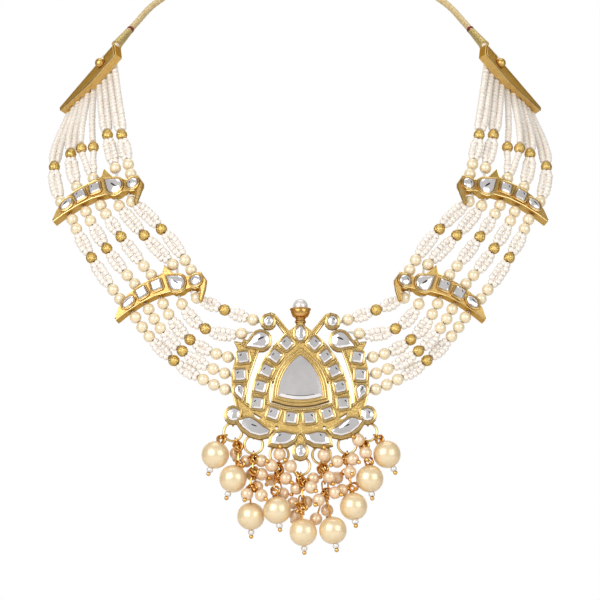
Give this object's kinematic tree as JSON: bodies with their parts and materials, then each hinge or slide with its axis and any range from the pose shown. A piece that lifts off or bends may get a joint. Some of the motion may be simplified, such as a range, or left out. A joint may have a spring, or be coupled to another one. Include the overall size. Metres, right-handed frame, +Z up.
{
  "type": "kundan necklace",
  "caption": "Stone-set pendant with pearl drops, hung on strands of pearls and seed beads through bird-shaped spacers, with a cord behind the neck",
  "frame": {"origin": "inner middle of the neck cord at the nape, where it rests on the back of the neck", "axes": "+Z up along the worn necklace, +Y backwards out of the nape, -Y towards the viewer, +X to the viewer's right"},
  "size_m": [0.1818, 0.1329, 0.2131],
  "materials": {
    "gold": "antique gold plate, satin with bright rims",
    "gold_bead": "diamond-cut texture",
    "wire": "polished, reddish gold",
    "stone": "foil-backed cut glass",
    "drop_pearl": "pearl lustre, champagne",
    "small_pearl": "pearl lustre, cream",
    "seed_beads": "pearl lustre, pinkish white",
    "cord": "twisted gold thread",
    "metal_thread": "woven gold thread",
    "maroon_thread": "wound maroon thread"
  },
  "bodies": {
    "root": {"pendant_frame": "gold", "centre_stone": "stone", "peak_stone": "stone", "border_stones": "stone", "left_wing_stones": "stone", "right_wing_stones": "stone", "lower_stones": "stone", "finial_pearl": "small_pearl", "left_lower_spacer": "gold", "left_lower_spacer_stones": "stone", "left_upper_spacer": "gold", "left_upper_spacer_stones": "stone", "left_strand_1_pearls": "small_pearl", "left_strand_1_strings": "seed_beads", "left_strand_2_pearls": "small_pearl", "left_strand_2_strings": "seed_beads", "left_strand_3_pearls": "small_pearl", "left_strand_3_strings": "seed_beads", "left_strand_4_pearls": "small_pearl", "left_strand_4_strings": "seed_beads", "left_strand_5_pearls": "small_pearl", "left_strand_5_strings": "seed_beads", "left_gold_beads": "gold_bead", "left_end_plate": "gold", "left_back_string": "seed_beads", "left_cord_sleeve": "metal_thread", "left_cord_wrap": "maroon_thread", "right_lower_spacer": "gold", "right_lower_spacer_stones": "stone", "right_upper_spacer": "gold", "right_upper_spacer_stones": "stone", "right_strand_1_pearls": "small_pearl", "right_strand_1_strings": "seed_beads", "right_strand_2_pearls": "small_pearl", "right_strand_2_strings": "seed_beads", "right_strand_3_pearls": "small_pearl", "right_strand_3_strings": "seed_beads", "right_strand_4_pearls": "small_pearl", "right_strand_4_strings": "seed_beads", "right_strand_5_pearls": "small_pearl", "right_strand_5_strings": "seed_beads", "right_gold_beads": "gold_bead", "right_end_plate": "gold", "right_back_string": "seed_beads", "right_cord_sleeve": "metal_thread", "right_cord_wrap": "maroon_thread", "neck_cord": "cord", "jump_rings": "wire", "drop_pearls": "drop_pearl", "cluster_pearls": "small_pearl", "drop_wires": "wire"}
  },
  "joints": []
}
